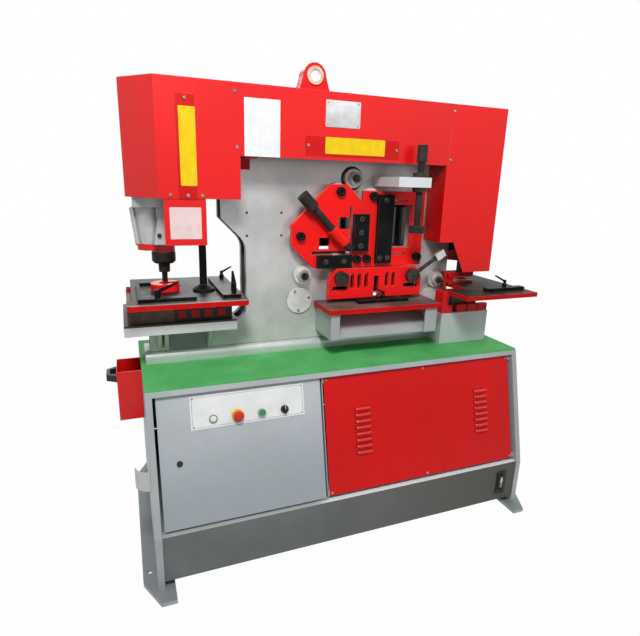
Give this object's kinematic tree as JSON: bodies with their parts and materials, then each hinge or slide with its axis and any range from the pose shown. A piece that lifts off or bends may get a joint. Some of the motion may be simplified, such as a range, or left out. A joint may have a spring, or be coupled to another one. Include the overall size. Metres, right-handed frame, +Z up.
{
  "type": "hydraulic ironworker machine",
  "caption": "Floor-standing hydraulic ironworker: punch with throat, angle, bar and strip shears and a notcher under red sheet covers, on a grey cabinet base with a control door.",
  "frame": {"origin": "on the floor, at the centre of the four anchor holes in the feet", "axes": "+X to the machine's right seen from the operator, front at -Y, +Z up"},
  "size_m": [1.68, 0.906, 1.771],
  "materials": {
    "grey_paint": "satin grey enamel",
    "red_paint": "gloss red enamel",
    "black_steel": "blackened steel",
    "bare_steel": "ground steel",
    "dark_steel": "oiled steel",
    "green_mat": "ribbed green rubber",
    "white_plate": "pale anodised sheet",
    "black_plastic": "black plastic",
    "white_lens": "white lens",
    "yellow_plastic": "yellow plastic",
    "red_plastic": "red plastic",
    "green_plastic": "green plastic",
    "device_plastic": "grey device plastic",
    "blue_paint": "blue motor paint"
  },
  "bodies": {
    "machine": {"base_frame": "grey_paint", "oil_tank": "grey_paint", "bed_bar": "grey_paint", "frame_plates": "grey_paint", "frame_spacers": "grey_paint", "frame_bosses": "grey_paint", "notch_base": "grey_paint", "shear_support": "grey_paint", "arm_bracket": "grey_paint", "ram_housing": "grey_paint", "cylinders": "grey_paint", "louvre_panel": "red_paint", "punch_guard": "red_paint", "punch_table": "red_paint", "angle_plate": "red_paint", "bar_frame": "red_paint", "shear_table": "red_paint", "notch_table": "red_paint", "notch_tooling": "red_paint", "cover_left": "red_paint", "cover_middle": "red_paint", "cover_right": "red_paint", "lifting_eye": "red_paint", "stripper": "red_paint", "bolster_pads": "red_paint", "fixed_blades": "black_steel", "tool_bolts": "black_steel", "table_bolster": "black_steel", "guide_post": "black_steel", "pivot_pin": "bare_steel", "rubber_mat": "green_mat", "oil_gauge": "black_plastic", "electric_panel": "device_plastic", "power_pack": "blue_paint"},
    "door": {"cabinet_door": "grey_paint", "control_plate": "white_plate", "pilot_lamp": "white_lens", "stop_collar": "yellow_plastic"},
    "stop": {"stop_button": "red_plastic"},
    "start": {"start_button": "green_plastic"},
    "selector": {"selector_knob": "black_plastic"},
    "lock": {"door_lock": "bare_steel"},
    "drawer": {"slug_drawer": "red_paint", "drawer_handle": "black_plastic"},
    "beam": {"shear_beam": "dark_steel", "beam_blades": "black_steel"},
    "rod": {"shear_rod": "bare_steel"},
    "ram": {"punch_ram": "bare_steel", "ram_tool": "black_steel"},
    "fence": {"front_fence": "black_steel"},
    "fence_clamp": {"front_lever": "black_steel"},
    "rail": {"side_rail": "black_steel"},
    "rail_clamp": {"rail_lever": "black_steel"},
    "angle_clamp": {"angle_screw": "black_steel"},
    "bar_clamp": {"bar_screw": "black_steel"},
    "strip_plate": {"strip_holddown": "red_paint"},
    "strip_handle": {"strip_lever": "black_steel"},
    "strip_turn": {"strip_knob": "black_steel"},
    "strip_stop": {"strip_guide": "black_steel"},
    "notch_stop": {"notch_guide": "black_steel"}
  },
  "joints": [
    {"name": "door_hinge", "type": "hinge", "parent": "machine", "child": "door", "pos_m": [-0.157, -0.37068, 0.20533], "axis": [0, 0.2362, 0.9717], "range_deg": [0, 110]},
    {"name": "stop_push", "type": "slide", "parent": "door", "child": "stop", "axis": [0, 0.9717, -0.2362], "range_m": [0, 0.005], "stiffness_N_per_m": 500, "springref_m": -0.002},
    {"name": "start_push", "type": "slide", "parent": "door", "child": "start", "axis": [0, 0.9717, -0.2362], "range_m": [0, 0.005], "stiffness_N_per_m": 500, "springref_m": -0.002},
    {"name": "selector_turn", "type": "hinge", "parent": "door", "child": "selector", "pos_m": [-0.288, -0.29527, 0.56639], "axis": [0, -0.9717, 0.2362], "range_deg": [-45, 45]},
    {"name": "lock_turn", "type": "hinge", "parent": "door", "child": "lock", "pos_m": [-0.659, -0.32521, 0.43474], "axis": [0, -0.9717, 0.2362], "range_deg": [0, 90]},
    {"name": "drawer_slide", "type": "slide", "parent": "machine", "child": "drawer", "axis": [-1, 0, 0], "range_m": [-0.08, 0.1]},
    {"name": "beam_swing", "type": "hinge", "parent": "machine", "child": "beam", "pos_m": [-0.143, 0.042, 0.893], "axis": [0, 1, 0], "range_deg": [0, 3.5]},
    {"name": "rod_press", "type": "slide", "parent": "machine", "child": "rod", "axis": [0, 0, -1], "range_m": [0, 0.0455]},
    {"name": "ram_stroke", "type": "slide", "parent": "machine", "child": "ram", "axis": [0, 0, -1], "range_m": [0, 0.055]},
    {"name": "fence_slide", "type": "slide", "parent": "machine", "child": "fence", "axis": [0, -1, 0], "range_m": [0, 0.03]},
    {"name": "fence_clamp_turn", "type": "hinge", "parent": "fence", "child": "fence_clamp", "pos_m": [-0.68767, -0.142, 0.975], "axis": [0, 0, 1], "range_deg": [-60, 60]},
    {"name": "rail_slide", "type": "slide", "parent": "machine", "child": "rail", "axis": [0, 1, 0], "range_m": [-0.03, 0.06]},
    {"name": "rail_clamp_turn", "type": "hinge", "parent": "rail", "child": "rail_clamp", "pos_m": [-0.41752, -0.0774, 0.975], "axis": [0, 0, 1], "range_deg": [-60, 60]},
    {"name": "angle_clamp_slide", "type": "slide", "parent": "machine", "child": "angle_clamp", "axis": [-0.7071, 0, 0.7071], "range_m": [0, 0.06]},
    {"name": "bar_clamp_slide", "type": "slide", "parent": "machine", "child": "bar_clamp", "axis": [0, 0, 1], "range_m": [-0.038, 0.12]},
    {"name": "strip_handle_turn", "type": "hinge", "parent": "machine", "child": "strip_handle", "pos_m": [0.325, -0.097, 0.989], "axis": [0, 1, 0], "range_deg": [0, 40]},
    {"name": "strip_knob_turn", "type": "hinge", "parent": "machine", "child": "strip_turn", "pos_m": [0.005, -0.097, 0.989], "axis": [0, 1, 0], "range_deg": [0, 40.1]},
    {"name": "strip_plate_drop", "type": "slide", "parent": "machine", "child": "strip_plate", "axis": [0, 0, -1], "range_m": [0, 0.00805]},
    {"name": "strip_stop_slide", "type": "slide", "parent": "machine", "child": "strip_stop", "axis": [0, -1, 0], "range_m": [0, 0.055]},
    {"name": "notch_stop_slide", "type": "slide", "parent": "machine", "child": "notch_stop", "axis": [0, 1, 0], "range_m": [-0.05, 0.06]}
  ],
  "couplings": [
    {"joint": "rod_press", "follows": "beam_swing", "m_per_rad": 0.738},
    {"joint": "strip_knob_turn", "follows": "strip_handle_turn", "ratio": 1},
    {"joint": "strip_plate_drop", "follows": "strip_handle_turn", "m_per_rad": 0.011459}
  ]
}
